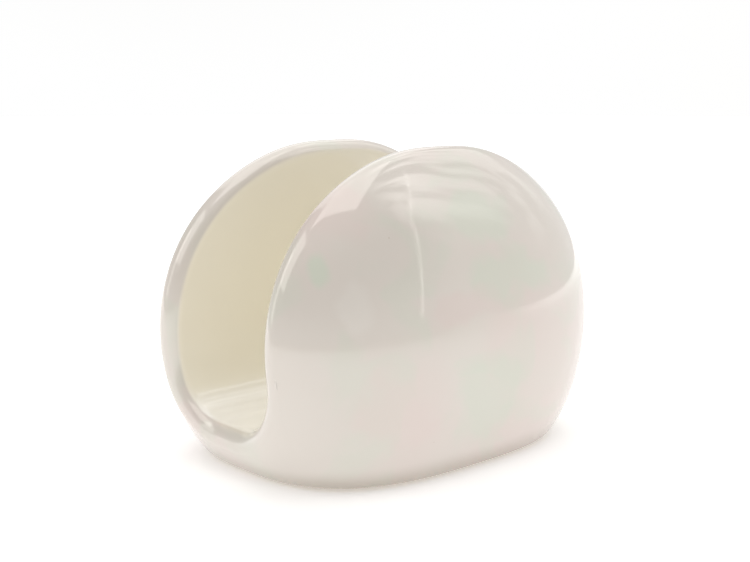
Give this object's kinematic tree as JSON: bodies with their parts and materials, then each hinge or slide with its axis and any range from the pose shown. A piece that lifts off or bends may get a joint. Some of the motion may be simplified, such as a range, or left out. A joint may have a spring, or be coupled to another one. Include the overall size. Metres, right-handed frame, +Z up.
{
  "type": "napkin holder",
  "caption": "Glossy white pearl-glazed ceramic napkin holder: two domed wings joined by a trough, with rolled rims and soft pads beneath.",
  "frame": {"origin": "at table level, under the middle of the holder", "axes": "+X along the napkin slot, +Y across it towards the rear wing, +Z up"},
  "size_m": [0.1298, 0.097, 0.0943],
  "materials": {
    "pearl_glaze": "glossy clear glaze with a mother-of-pearl lustre, cream inside the slot",
    "pad_rubber": "translucent soft silicone, satin"
  },
  "bodies": {
    "root": {"ceramic_body": "pearl_glaze", "pad_front_left": "pad_rubber", "pad_rear_left": "pad_rubber", "pad_front_right": "pad_rubber", "pad_rear_right": "pad_rubber"}
  },
  "joints": []
}
